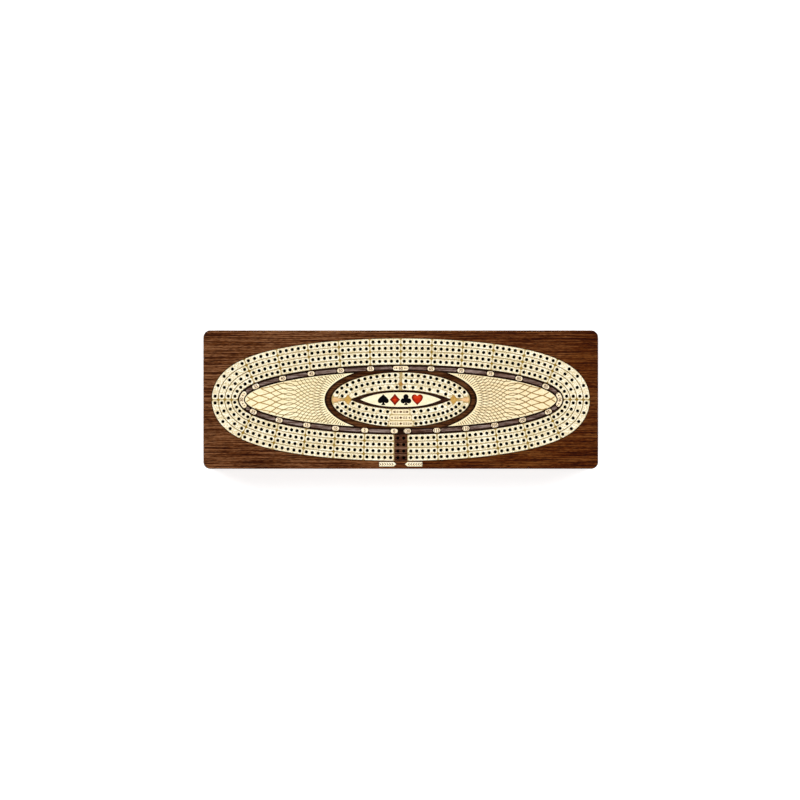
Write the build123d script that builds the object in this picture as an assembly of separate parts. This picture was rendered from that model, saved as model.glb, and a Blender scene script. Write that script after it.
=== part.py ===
from build123d import *
import math
import os

os.makedirs("parts", exist_ok=True)

# A cribbage board box: a storage box whose sliding lid is the playing board.
# Millimetres. Origin at the centre of the footprint on the table, +X along the
# length (the lid slides off this way), +Y away from the player, +Z up.

# ---------------------------------------------------------------- driving sizes
board_l = 368.0          # overall length
board_w = 129.0          # overall width
total_h = 50.0           # height over the pads
corner_r = 6.35          # rounded vertical corners
lid_t = 12.0             # thickness of the playing board
foot_h = 2.0
floor_t = 5.0
side_t = 9.0             # long walls
end_t = 10.0             # short walls
lid_gap = 0.2            # air between the wall tops and the board

lid_z0 = total_h - lid_t             # underside of the board, 38
wall_top = lid_z0 - lid_gap          # 37.8
in_y = board_w / 2 - side_t          # inner half width, 55.5
in_x = board_l / 2 - end_t           # inner half length, 174
floor_top = foot_h + floor_t         # 7

inlay_t = 3.0            # depth of the inlays
relief = 0.25            # depth of the engraved lines
fit = 0.04               # glue line around each inlay
hole_r = 1.55            # peg holes, drilled a little under 1/8 in
hole_depth = 9.0

# playing track: four lanes at fixed offsets from one base ellipse
base_a, base_b = 147.6, 28.43
lane_1 = 7.39            # offset of the first lane of holes
lane_pitch = 6.08
ring_in, ring_out = 4.15, 28.68
band_mid = 0.84          # centre line of the dark marker band
band_in = -2.33          # inner edge of the band
gap_half = 6.0           # half width of the start gap in the ring
# Block boundaries, as parameters of the base ellipse from its end to its middle.
# They lie on common normals; every lane has five equally spaced holes between them.
block_at = {
    1: (0.0, 0.4185, 0.7296, 0.9699, 1.1819, 1.379, math.pi / 2),
    -1: (0.0, 0.3789, 0.6958, 0.9362, 1.1472, 1.3417, 1.5292),
}
end_margin = {1: 3.23, -1: 3.08}        # from a boundary to the nearest hole, along the lane
line_w = 0.72            # engraved line between lanes
cross_w = 0.95           # engraved line between blocks
cell_r = 1.65
outline_w = 0.42         # burnt line round the track and the plates

# scoring oval
oval_a, oval_b = 64.6, 25.5
ring_a, ring_b = 71.1, 31.4             # outer edge of the dark oval ring
row_ab = (58.9, 20.2)
row_bc = (51.3, 14.35)
rows = {                                # ellipse, (start, pitch, count) above and below
    "a": ((62.2, 23.0), (5.03, 5.425, 11), (14.07, 4.503, 11)),
    "b": ((55.7, 17.4), (4.75, 4.985, 11), (13.6, 4.08, 11)),
    "c": ((46.8, 11.6), (3.63, 7.654, 6), (12.3, 6.46, 6)),
}
eye_out = (47.2, 8.68, 2.38)             # half length, half height, fullness
eye_in = (37.65, 6.7, 2.6)

# storage
card_l, card_w, deck_h = 88.9, 63.5, 16.0
well_w = 68.0
div_t = 6.0
peg_pitch = 15.0
felt_t = 1.0

# lid guide
groove_z0, groove_z1, groove_d = 32.0, 35.4, 3.5
run_in, run_out = 47.5, 55.2


# ---------------------------------------------------------------- small helpers
def ell(t, a, b, d=0.0):
    """Point at parameter t of an ellipse, moved d outwards along its normal."""
    c, s = math.cos(t), math.sin(t)
    n = math.hypot(b * c, a * s)
    return (a * c + d * b * c / n, b * s + d * a * s / n)


def base(t, d):
    return ell(t, base_a, base_b, d)


def arc_table(d, n=6000):
    """Arc length along the base ellipse's offset d, from its end at t=0 to t=pi/2."""
    ts = [math.pi / 2 * i / n for i in range(n + 1)]
    out, total, last = [0.0], 0.0, None
    for i, t in enumerate(ts):
        sp = math.hypot(base_a * math.sin(t), base_b * math.cos(t))
        v = sp + d * base_a * base_b / sp**2
        if i:
            total += (v + last) / 2 * (math.pi / 2 / n)
            out.append(total)
        last = v
    return ts, out


def invert(table, s):
    ts, ss = table
    lo, hi = 0, len(ss) - 1
    if s <= 0:
        return ts[0] + s / max(ss[1] - ss[0], 1e-9) * (ts[1] - ts[0])
    while hi - lo > 1:
        m = (lo + hi) // 2
        if ss[m] < s:
            lo = m
        else:
            hi = m
    f = (s - ss[lo]) / (ss[hi] - ss[lo])
    return ts[lo] + f * (ts[hi] - ts[lo])


def length_at(table, t):
    ts, ss = table
    f = t / ts[-1] * (len(ts) - 1)
    i = min(int(f), len(ts) - 2)
    return ss[i] + (f - i) * (ss[i + 1] - ss[i])


def v3(p, z=0.0):
    return Vector(p[0], p[1], z)


def arcs(pts):
    """Chain of circular arcs through an odd number of points."""
    return [arc3(pts[i], pts[i + 1], pts[i + 2]) for i in range(0, len(pts) - 2, 2)]


def arc3(a, b, c):
    return Edge.make_three_point_arc(v3(a), v3(b), v3(c))


def seg(a, b):
    return Edge.make_line(v3(a), v3(b))


def circle(p, r):
    return Wire.make_circle(r, Plane(origin=(p[0], p[1], 0)))


def prism(face, z0, z1):
    return Solid.extrude(face.moved(Location((0, 0, z0))), Vector(0, 0, z1 - z0))


def ellipse_wire(a, b, n=64):
    """Ellipse as a closed chain of arcs, closer together where it turns fast."""
    k = 0.3 if a > 1.5 * b else 0.0
    us = [2 * math.pi * i / n for i in range(n)]
    pts = [ell(u - k * math.sin(2 * u), a, b) for u in us]
    return Wire(arcs(pts + pts[:1]))


def lens_wire(h_len, h_hi, full):
    """Pointed lens, fuller towards its tips than two plain arcs would make it."""
    xs = [h_len * (i / 6 - 1) for i in range(13)]
    up = [(x, h_hi * (1 - abs(x / h_len) ** full)) for x in xs]
    return Wire([*arcs(up), *arcs([(-x, -y) for x, y in up])])


def rounded_rect(cx, cy, w, h, r, ang=0.0):
    sk = RectangleRounded(w, h, r)
    return (Pos(cx, cy) * Rot(0, 0, ang) * sk).face()


def poly_face(pts):
    return Face(Wire.make_polygon([v3(p) for p in pts]))


def many(solids, name):
    whole = Compound(list(solids)) if len(solids) > 1 else solids[0]
    export_step(whole, f"parts/{name}.step")


# ---------------------------------------------------------------- track layout
# Quarters: sign of x, sign of y. t runs from the end of the oval (0) to its middle.
quarters = {"left_low": (-1, -1), "left_high": (-1, 1), "right_high": (1, 1), "right_low": (1, -1)}


def q_point(q, t, d):
    sx, sy = quarters[q]
    x, y = base(t, d)
    return (sx * x, sy * y)


def block_t(q, k):
    """Parameter of boundary k (0 at the oval's end, 6 at the middle or the start gap)."""
    return block_at[quarters[q][1]][k]


def track_holes():
    """{(quarter, block, lane): [five centres]}"""
    res = {}
    for lane in range(4):
        d = lane_1 + lane * lane_pitch
        table = arc_table(d)
        for q, (sx, sy) in quarters.items():
            at = [length_at(table, t) for t in block_at[sy]]
            for k in range(6):
                # the innermost lane's end block is short, so its holes sit a little nearer its ends
                m = 2.55 if (k, lane, sy) == (0, 0, -1) else end_margin[sy]
                step = (at[k + 1] - at[k] - 2 * m) / 4
                res[q, k, lane] = [q_point(q, invert(table, at[k] + m + step * j), d) for j in range(5)]
    return res


def lane_t(sy, t0, shift, d):
    """Move along lane offset d by shift mm from parameter t0."""
    t = t0
    for _ in range(40):
        sp = math.hypot(base_a * math.sin(t), base_b * math.cos(t))
        t += shift / 40 / (sp + d * base_a * base_b / sp**2)
    return t


def track_cell(q, k, lane):
    """Outline of one five-hole block in one lane, with rounded corners."""
    sy = quarters[q][1]
    d_lo = lane_1 + lane_pitch * (lane - 0.5) + line_w / 2
    d_hi = lane_1 + lane_pitch * (lane + 0.5) - line_w / 2
    if lane == 0:
        d_lo = ring_in + 0.25
    if lane == 3:
        d_hi = ring_out - 0.25
    d_mid = (d_lo + d_hi) / 2
    t0 = lane_t(sy, block_t(q, k), cross_w / 2, d_mid)
    end = block_t(q, k + 1)
    t1 = lane_t(sy, end, -cross_w / 2 if not (sy < 0 and k == 5) else -0.25, d_mid)
    r = cell_r
    c = r * (1 - math.sqrt(0.5))

    def side(d):
        a = lane_t(sy, t0, r, d_mid)
        b = lane_t(sy, t1, -r, d_mid)
        n = 9 if k == 0 else 3
        return [q_point(q, a + (b - a) * i / (n - 1), d) for i in range(n)]

    lo, hi = side(d_lo), side(d_hi)
    tc0, tc1 = lane_t(sy, t0, c, d_mid), lane_t(sy, t1, -c, d_mid)
    a0, a1 = q_point(q, t0, d_lo + r), q_point(q, t0, d_hi - r)
    b0, b1 = q_point(q, t1, d_lo + r), q_point(q, t1, d_hi - r)
    return Wire(
        [
            *arcs(lo),
            arc3(lo[-1], q_point(q, tc1, d_lo + c), b0),
            seg(b0, b1),
            arc3(b1, q_point(q, tc1, d_hi - c), hi[-1]),
            *arcs(hi[::-1]),
            arc3(hi[0], q_point(q, tc0, d_hi - c), a1),
            seg(a1, a0),
            arc3(a0, q_point(q, tc0, d_lo + c), lo[0]),
        ]
    )


def gap_angle(d, half):
    """Parameter where the offset curve d has |x| = half, near the middle."""
    lo, hi = 0.8, math.pi / 2
    for _ in range(60):
        m = (lo + hi) / 2
        if base(m, d)[0] > half:
            lo = m
        else:
            hi = m
    return (lo + hi) / 2


def ring_wire(shrink):
    """C-shaped outline of the track inlay, open at the start gap."""
    d0, d1, half = ring_in + shrink, ring_out - shrink, gap_half + shrink

    def loop(d, n=96):
        te = gap_angle(d, half)
        # from the right edge of the gap, round the oval, to its left edge
        a0, a1 = -te, math.pi + te
        pts = []
        for i in range(n + 1):
            u = a0 + (a1 - a0) * i / n
            # crowd points near the two ends, where the curve turns fast
            w = u - 0.38 * math.sin(2 * u) * (1 if abs(math.sin(2 * u)) > 0 else 0)
            pts.append(w)
        lo_w, hi_w = pts[0], pts[-1]
        pts = [a0 + (w - lo_w) / (hi_w - lo_w) * (a1 - a0) for w in pts]
        return [base(w, d) for w in pts]

    o, i = loop(d1), loop(d0)
    o[0], o[-1] = (half, o[0][1]), (-half, o[-1][1])
    i[0], i[-1] = (half, i[0][1]), (-half, i[-1][1])
    return Wire([*arcs(o), seg(o[-1], i[-1]), *arcs(i[::-1]), seg(i[0], o[0])])


def band_piece(q0, t0, q1, t1, half_w, n=9):
    """A strip along the band's centre line with round ends. Points run from (q0, t0) to (q1, t1), which may cross the oval's end (t = 0) or its middle."""

    def signed(q, t):
        sx, sy = quarters[q]
        th = t if sx > 0 else math.pi - t
        return th if sy > 0 else -th

    a, b = signed(q0, t0), signed(q1, t1)
    if abs(b - a) > math.pi:  # across the left end
        a, b = a % (2 * math.pi), b % (2 * math.pi)
    us = [a + (b - a) * i / (n - 1) for i in range(n)]
    hi = [base(u, band_mid + half_w) for u in us]
    lo = [base(u, band_mid - half_w) for u in us]

    def cap(u, sgn):
        p, m = base(u, band_mid), base(u + sgn * 1e-4, band_mid)
        L = math.hypot(m[0] - p[0], m[1] - p[1])
        return (p[0] + (m[0] - p[0]) / L * half_w, p[1] + (m[1] - p[1]) / L * half_w)

    step = 1 if b > a else -1
    return Wire([*arcs(hi), arc3(hi[-1], cap(us[-1], step), lo[-1]), *arcs(lo[::-1]), arc3(lo[0], cap(us[0], -step), hi[0])])


def along_band(q, t, shift):
    """Move shift mm along the band's centre line, away from the oval's end if positive."""
    return lane_t(quarters[q][1], t, shift, band_mid)


# ---------------------------------------------------------------- playing board
top_z = total_h
inlay_top = total_h - 0.05
inlay_z0 = total_h - inlay_t


def closed_offset(d, n=96):
    """Closed smooth curve at offset d from the base ellipse."""
    pts = []
    for i in range(n):
        u = 2 * math.pi * i / n
        pts.append(base(u - 0.38 * math.sin(2 * u), d))
    return Wire(arcs(pts + pts[:1]))


def holes_cut(points, z0, z1, r):
    return [Solid.make_cylinder(r, z1 - z0, Plane(origin=(x, y, z0))) for x, y in points]


# Hole centres
ring_holes = track_holes()
ring_pts = [p for pts in ring_holes.values() for p in pts]
start_pts = [(sx * 2.75, -(base_b + lane_1 + lane_pitch * k)) for sx in (-1, 1) for k in range(4)]
row_pts = []
for (ra, rb), up, low in rows.values():
    for (x0, px, n), sy in ((up, 1), (low, -1)):
        # the pitch shortens towards the tips, as equal steps along the row do
        for i in range(n):
            th0, th1 = math.asin(x0 / ra), math.asin(min((x0 + px * (n - 1)) / ra, 0.985))
            steps = 400
            ts = [th0 + (th1 - th0) * k / steps for k in range(steps + 1)]
            s = [0.0]
            for k in range(steps):
                tm = (ts[k] + ts[k + 1]) / 2
                s.append(s[-1] + math.hypot(ra * math.cos(tm), rb * math.sin(tm)) * (ts[k + 1] - ts[k]))
            want = s[-1] * i / (n - 1)
            k = max(j for j in range(steps + 1) if s[j] <= want + 1e-9)
            th = ts[k]
            for sx in (-1, 1):
                row_pts.append((sx * ra * math.sin(th), sy * rb * math.cos(th)))

# Track inlay: a C of pale wood, its blocks standing 0.25 mm proud of the burnt lines
c_face = Face(ring_wire(fit))
track = prism(c_face, inlay_z0, inlay_top - relief)
cells = [
    prism(Face(track_cell(q, k, lane)), inlay_top - relief, inlay_top)
    for q in quarters
    for k in range(6)
    for lane in range(4)
]
track = track.fuse(*cells)
track = track.cut(*holes_cut(ring_pts, inlay_z0 - 1, top_z + 1, hole_r))
many(track.solids(), "track_inlay")

# Start block between the ends of the track
gs = gap_half - fit
te0, te1 = gap_angle(ring_in + fit, gs), gap_angle(ring_out - fit, gs)


def gap_curve(d, te, n=3):
    pts = [base(-te + (-(math.pi - 2 * te)) * i / (n - 1), d) for i in range(n)]
    pts[0], pts[-1] = (gs, pts[0][1]), (-gs, pts[-1][1])
    return pts


go, gi = gap_curve(ring_out - fit, te1), gap_curve(ring_in + fit, te0)
start_face = Face(Wire([*arcs(go), seg(go[-1], gi[-1]), *arcs(gi[::-1]), seg(gi[0], go[0])]))
start_block = prism(start_face, inlay_z0, inlay_top).cut(*holes_cut(start_pts, inlay_z0 - 1, top_z + 1, hole_r))
many(start_block.solids(), "start_block")

# Number markers and the strips between them, let into the dark band
mark_w, mark_l, strip_w, strip_gap = 4.1, 6.6, 2.9, 0.45
long_l = {"left": 16.8, "top": 14.6, "right": 13.8}


def marker_wire(q, t, length, width):
    h = (length - width) / 2
    if t < 1e-6:      # across the oval's end
        other = {"left_high": "left_low", "right_high": "right_low"}[q]
        ta = along_band(q, 0.0, h)
        return band_piece(other, ta, q, ta, width / 2)
    if q.endswith("high") and t > math.pi / 2 - 1e-6:   # across the top middle
        ta = along_band(q, t, -h)
        return band_piece("left_high", ta, "right_high", ta, width / 2)
    return band_piece(q, along_band(q, t, -h), q, along_band(q, t, h), width / 2, n=3)


marker_at = []      # (quarter, parameter, length)
for q in quarters:
    marker_at += [(q, block_t(q, k), mark_l) for k in range(1, 6)]
for q in ("left_low", "right_low"):
    marker_at.append((q, block_t(q, 6), mark_l))
long_at = [("left_high", 0.0, long_l["left"]), ("left_high", math.pi / 2, long_l["top"]), ("right_high", 0.0, long_l["right"])]

strip_ends = []
for q in quarters:
    ends = [(block_t(q, k), mark_l) for k in range(1, 6)]
    ends = [(0.0, long_l[q.split("_")[0]])] + ends + [(block_t(q, 6), mark_l if q.endswith("low") else long_l["top"])]
    for (ta, la), (tb, lb) in zip(ends, ends[1:]):
        a = along_band(q, ta, la / 2 + strip_gap + strip_w / 2)
        b = along_band(q, tb, -lb / 2 - strip_gap - strip_w / 2)
        strip_ends.append((q, a, b))

marker_solids = [prism(Face(marker_wire(q, t, n - 2 * fit, mark_w - 2 * fit)), inlay_z0, inlay_top) for q, t, n in marker_at]
long_solids = [prism(Face(marker_wire(q, t, n - 2 * fit, mark_w - 2 * fit)), inlay_z0, inlay_top) for q, t, n in long_at]
strip_solids = [prism(Face(band_piece(q, a, q, b, strip_w / 2 - fit)), inlay_z0, inlay_top) for q, a, b in strip_ends]
many(marker_solids, "number_markers")
many(long_solids, "corner_markers")
many(strip_solids, "band_strips")

# Engraved side panels: crescents between the band and the dark oval ring
panel_face = Face(closed_offset(band_in - fit))
ring_hole = Face(ellipse_wire(ring_a + fit, ring_b + fit))
crescents = prism(panel_face, inlay_z0, inlay_top).cut(prism(ring_hole, inlay_z0 - 1, top_z + 1)).solids()
crescents = sorted(crescents, key=lambda s: s.center().X)
print("crescents", len(crescents), [round(c.volume) for c in crescents])
many([crescents[0]], "guilloche_panel_left")
many([crescents[-1]], "guilloche_panel_right")

# Score oval: three rows of holes above and below the eye
diamond_x, diamond_w, diamond_h = 49.25, 3.9, 4.3
col = [(1.0, 25.2), (1.0, 21.4), (1.8, 20.2), (1.0, 19.0), (1.0, 16.2), (2.45, 14.5), (1.1, 13.0), (1.1, 10.4), (2.6, 8.6)]
fan = [(53.6, 0.0), (62.3, 2.5), (64.2, 0.0), (62.3, -2.5)]
plaque_spec = [(-11.4, 16.4), (-16.85, 20.0), (-22.4, 22.6)]   # (y, width)
plaque_h, plaque_r = 4.7, 1.7


def grow_poly(pts, g):
    """Outline pushed outwards by about g from its centre."""
    cx = sum(p[0] for p in pts) / len(pts)
    cy = sum(p[1] for p in pts) / len(pts)
    res = []
    for x, y in pts:
        L = math.hypot(x - cx, y - cy)
        res.append((x + (x - cx) / L * g, y + (y - cy) / L * g))
    return res


def diamond_pts(sx, g=0.0):
    return [(sx * diamond_x + diamond_w + g, 0), (sx * diamond_x, diamond_h + g), (sx * diamond_x - diamond_w - g, 0), (sx * diamond_x, -diamond_h - g)]


def col_pts(g=0.0):
    right = [(x + g, y) for x, y in col]
    left = [(-x - g, y) for x, y in reversed(col)]
    pts = right + left
    return pts


def fan_pts(sx, g=0.0):
    return [(sx * x, y) for x, y in grow_poly(fan, g)]


def pz(pts, z0, z1):
    return prism(poly_face(pts), z0, z1)


def rect_prism(x0, x1, y0, y1, z0, z1):
    return Solid.make_box(x1 - x0, y1 - y0, z1 - z0, Plane(origin=(x0, y0, z0)))


zr0, zr1 = inlay_top - relief, inlay_top
oval = prism(Face(ellipse_wire(oval_a - fit, oval_b - fit)), inlay_z0, zr0)
e = 0.24


def row_cells(outer, inner, x_up, x_low, tip_y):
    ring = prism(outer, zr0, zr1).cut(prism(inner, zr0 - 1, zr1 + 1))
    cuts = [rect_prism(-x_up, x_up, 0, 40, zr0 - 1, zr1 + 1), rect_prism(-x_low, x_low, -40, 0, zr0 - 1, zr1 + 1)]
    cuts += [rect_prism(sx * 57 - 16, sx * 57 + 16, -tip_y, tip_y, zr0 - 1, zr1 + 1) for sx in (-1, 1)]
    cuts += [pz(diamond_pts(sx, 0.45), zr0 - 1, zr1 + 1) for sx in (-1, 1)]
    cuts += [pz(fan_pts(sx, 0.3), zr0 - 1, zr1 + 1) for sx in (-1, 1)]
    ring = ring.cut(*cuts)
    res = []
    for s in ring.solids():
        if s.volume < 1.0:
            continue
        vert = [ed for ed in s.edges() if abs(ed.tangent_at(0.5).Z) > 0.99]
        for r in (1.5, 1.1, 0.8, 0.5, 0.3):
            try:
                f = s.fillet(r, vert)
                if f.is_valid and f.volume > 0:
                    s = f
                    break
            except Exception:
                pass
        else:
            print("row cell kept square")
        res.append(s)
    return res


oval_cells = []
oval_cells += row_cells(Face(ellipse_wire(oval_a - 0.3, oval_b - 0.3)), Face(ellipse_wire(row_ab[0] + e, row_ab[1] + e)), 1.3, 11.8, 2.9)
oval_cells += row_cells(Face(ellipse_wire(row_ab[0] - e, row_ab[1] - e)), Face(ellipse_wire(row_bc[0] + e, row_bc[1] + e)), 1.3, 10.5, 1.6)
oval_cells += row_cells(Face(ellipse_wire(row_bc[0] - e, row_bc[1] - e)), Face(lens_wire(eye_out[0] + 0.4, eye_out[1] + 0.4, eye_out[2])), 1.4, 8.7, 0.8)
print("oval cells", len(oval_cells))
oval = oval.fuse(*oval_cells)
lens_cut = prism(Face(lens_wire(*eye_out)), inlay_z0 - 1, top_z + 1)
gold_z0 = inlay_top - 1.5
gold_cut = [pz(col_pts(fit), gold_z0, top_z + 1)]
gold_cut += [pz(diamond_pts(sx, fit), gold_z0, top_z + 1) for sx in (-1, 1)]
fan_cut = [pz(fan_pts(sx, fit), gold_z0, top_z + 1) for sx in (-1, 1)]
plaque_cut = [
    prism(rounded_rect(0, y, w + 2 * fit, plaque_h + 2 * fit, plaque_r), gold_z0, top_z + 1) for y, w in plaque_spec
]
oval = oval.cut(lens_cut, *gold_cut, *fan_cut, *plaque_cut)
oval = oval.cut(*holes_cut(row_pts, inlay_z0 - 1, top_z + 1, hole_r))
print("score oval solids", len(oval.solids()))
many(oval.solids(), "score_oval")
gold = [pz(col_pts(), gold_z0, inlay_top).cut(lens_cut)] + [pz(diamond_pts(sx), gold_z0, inlay_top).cut(lens_cut) for sx in (-1, 1)]
many([s for g in gold for s in g.solids()], "gold_inlays")
many([pz(fan_pts(sx), gold_z0, inlay_top) for sx in (-1, 1)], "oval_tip_inlays")
many([prism(rounded_rect(0, y, w, plaque_h, plaque_r), gold_z0, inlay_top) for y, w in plaque_spec], "score_plaques")

# Eye: a dark lens frame, a pale lens, four card suits
frame_out = prism(Face(lens_wire(eye_out[0] - 0.15, eye_out[1] - 0.03, eye_out[2])), inlay_z0, inlay_top)
eye_frame = frame_out.cut(prism(Face(lens_wire(eye_in[0] + 0.2, eye_in[1] + 0.04, eye_in[2])), inlay_z0 - 1, top_z + 1))
many(eye_frame.solids(), "eye_frame")
suit_z0 = inlay_top - 1.5


def spade_wire(g=0.0):
    k = 1.0 + g / 5.0
    p = lambda x, y: (x * k, y * k)
    lobe = [(0, 5.3), (1.55, 3.5), (3.7, 1.6), (5.05, -0.7), (4.65, -2.6), (3.0, -3.3), (1.0, -2.6)]
    stem = [(1.0, -2.6), (1.3, -3.9), (2.4, -5.15)]
    right = Edge.make_spline([v3(p(x, y)) for x, y in lobe])
    left = Edge.make_spline([v3(p(-x, y)) for x, y in reversed(lobe)])
    sr = Edge.make_spline([v3(p(x, y)) for x, y in stem])
    sl = Edge.make_spline([v3(p(-x, y)) for x, y in reversed(stem)])
    return Wire([right, sr, seg(p(2.4, -5.15), p(-2.4, -5.15)), sl, left])


def heart_wire(g=0.0):
    k = 1.0 + g / 5.0
    p = lambda x, y: (x * k, y * k)
    half = [(0, 3.3), (1.35, 4.65), (3.3, 4.8), (5.15, 3.05), (4.85, 0.4), (2.6, -2.5), (0, -5.3)]
    right = Edge.make_spline([v3(p(x, y)) for x, y in half])
    left = Edge.make_spline([v3(p(-x, y)) for x, y in reversed(half)])
    return Wire([right, left])


def diamond_wire(g=0.0):
    k = 1.0 + g / 4.9
    p = lambda x, y: (x * k, y * k)
    tips = [(0, 5.6), (4.9, 0), (0, -5.6), (-4.9, 0)]
    eds = []
    for i in range(4):
        a, b = tips[i], tips[(i + 1) % 4]
        m = ((a[0] + b[0]) / 2 * 0.96, (a[1] + b[1]) / 2 * 0.96)
        eds.append(arc3(p(*a), p(*m), p(*b)))
    return Wire(eds)


def club_solid(g, z0, z1):
    k = 1.0 + g / 5.0
    discs = [Solid.make_cylinder(r * k, z1 - z0, Plane(origin=(x * k, y * k, z0))) for x, y, r in ((0, 2.65, 2.5), (-2.6, -1.15, 2.4), (2.6, -1.15, 2.4))]
    core = Solid.make_cylinder(1.5 * k, z1 - z0, Plane(origin=(0, 0, z0)))
    p = lambda x, y: (x * k, y * k)
    stem = prism(Face(Wire([
        seg(p(0.8, 0), p(0.85, -2.4)),
        arc3(p(0.85, -2.4), p(1.25, -4.1), p(2.2, -5.05)),
        seg(p(2.2, -5.05), p(-2.2, -5.05)),
        arc3(p(-2.2, -5.05), p(-1.25, -4.1), p(-0.85, -2.4)),
        seg(p(-0.85, -2.4), p(-0.8, 0)),
        seg(p(-0.8, 0), p(0.8, 0)),
    ])), z0, z1)
    return discs[0].fuse(discs[1], discs[2], core, stem)


suits = {
    "spade_inlay": (-16.3, lambda g, a, b: prism(Face(spade_wire(g)), a, b)),
    "diamond_inlay": (-5.5, lambda g, a, b: prism(Face(diamond_wire(g)), a, b)),
    "club_inlay": (4.85, lambda g, a, b: club_solid(g, a, b)),
    "heart_inlay": (15.4, lambda g, a, b: prism(Face(heart_wire(g)), a, b)),
}
eye = prism(Face(lens_wire(*eye_in)), inlay_z0, inlay_top)
for name, (x, make) in suits.items():
    piece = make(0.0, suit_z0, inlay_top).moved(Location((x, 0, 0)))
    hole = make(0.0, suit_z0, top_z + 1).moved(Location((x, 0, 0)))
    eye = eye.cut(*hole.solids())
    many(piece.solids(), name)
many(eye.solids(), "eye_inlay")

# Start and finish plates below the gap
plate_y, plate_h = -60.2, 4.0


def plate_face(x0, x1, point_right, g=0.0):
    h = plate_h / 2 + g
    if point_right:
        pts = [(x0 - g, plate_y - h), (x1 - 2.2, plate_y - h), (x1 + 1.2 * g, plate_y), (x1 - 2.2, plate_y + h), (x0 - g, plate_y + h)]
    else:
        pts = [(x1 + g, plate_y + h), (x0 + 2.2, plate_y + h), (x0 - 1.2 * g, plate_y), (x0 + 2.2, plate_y - h), (x1 + g, plate_y - h)]
    return poly_face(pts)


plates = {"start_plate": (-20.2, -4.3, True), "finish_plate": (4.0, 20.0, False)}
for name, (x0, x1, pr) in plates.items():
    s = prism(plate_face(x0, x1, pr), inlay_z0, inlay_top)
    many(s.solids(), name)

# Centre panel: the dark wood between the inlays inside the track. It is the ground of the
# marker band and the ring round the score oval.
panel = prism(Face(closed_offset(ring_in - fit)), inlay_z0, inlay_top)
cuts = [prism(Face(marker_wire(q, t, n, mark_w)), inlay_z0 - 1, top_z + 1) for q, t, n in marker_at + long_at]
cuts += [prism(Face(band_piece(q, a, q, b, strip_w / 2)), inlay_z0 - 1, top_z + 1) for q, a, b in strip_ends]
cres = prism(Face(closed_offset(band_in)), inlay_z0 - 1, top_z + 1).cut(prism(Face(ellipse_wire(ring_a, ring_b)), inlay_z0 - 2, top_z + 2))
cuts += list(cres.solids())
cuts.append(prism(Face(ellipse_wire(oval_a, oval_b)), inlay_z0 - 1, top_z + 1))
panel = panel.cut(*cuts)
print("centre panel solids", len(panel.solids()), panel.is_valid)
many(panel.solids(), "centre_panel")

# The board itself
board = prism(rounded_rect(0, 0, board_l, board_w, corner_r), lid_z0, top_z)
rim = [ed for ed in board.edges() if ed.center().Z > top_z - 0.01]
board = board.fillet(1.1, rim)
low_rim = [ed for ed in board.edges() if ed.center().Z < lid_z0 + 0.01]
board = board.chamfer(0.5, None, low_rim)
outline_z = top_z - 0.3
tools = [
    prism(Face(closed_offset(ring_out)), inlay_z0, top_z + 1),
    prism(Face(closed_offset(ring_out + outline_w)), outline_z, top_z + 1),
]
for x0, x1, pr in plates.values():
    tools.append(prism(plate_face(x0, x1, pr, fit), inlay_z0, top_z + 1))
    tools.append(prism(plate_face(x0, x1, pr, 0.36), outline_z, top_z + 1))
board = board.cut(*tools)
board = board.cut(*holes_cut(ring_pts + row_pts, total_h - hole_depth, top_z + 1, hole_r - 0.03))
board = board.cut(*holes_cut(start_pts, total_h - hole_depth, top_z + 1, hole_r))
print("board solids", len(board.solids()), board.is_valid)

# ---------------------------------------------------------------- lid guide
run_z0 = groove_z0 + 0.3
lip_z1 = groove_z1 - 0.3
lip_y = in_y + groove_d - 0.3
run_x0, run_x1 = -in_x + 0.4, board_l / 2 - 0.4
screw_x = (-155.0, -90.0, 90.0, 155.0)
screw_y = (run_in + run_out) / 2
screw_r, screw_head_r, screw_tip = 1.5, 3.0, 44.0


def screw(x, y):
    shank = Solid.make_cylinder(screw_r, screw_tip - run_z0 - 1.9, Plane(origin=(x, y, run_z0 + 1.7)))
    head = Solid.make_cone(screw_head_r - 0.1, screw_r, 1.7, Plane(origin=(x, y, run_z0 + 0.1)))
    s = head.fuse(shank)
    cross = [
        rect_prism(x - 1.7, x + 1.7, y - 0.35, y + 0.35, run_z0, run_z0 + 1.1),
        rect_prism(x - 0.35, x + 0.35, y - 1.7, y + 1.7, run_z0, run_z0 + 1.1),
    ]
    return s.cut(*cross)


def runner(sy):
    y0, y1 = sorted((sy * run_in, sy * run_out))
    l0, l1 = sorted((sy * (run_out - 1), sy * lip_y))
    r = rect_prism(run_x0, run_x1, y0, y1, run_z0, lid_z0).fuse(rect_prism(run_x0, run_x1, l0, l1, run_z0, lip_z1))
    for x in screw_x:
        r = r.cut(
            Solid.make_cylinder(screw_r + 0.1, 10, Plane(origin=(x, sy * screw_y, run_z0 - 1))),
            Solid.make_cone(screw_head_r, screw_r + 0.1, 1.8, Plane(origin=(x, sy * screw_y, run_z0))),
        )
    return r


many(runner(-1).solids(), "lid_runner_front")
many(runner(1).solids(), "lid_runner_back")
screws = [s for x in screw_x for sy in (-1, 1) for s in screw(x, sy * screw_y).solids()]
many(screws, "runner_screws")
board = board.cut(*holes_cut([(x, sy * screw_y) for x in screw_x for sy in (-1, 1)], lid_z0 - 1, screw_tip + 0.3, screw_r + 0.05))
many(board.solids(), "playing_board")

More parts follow.
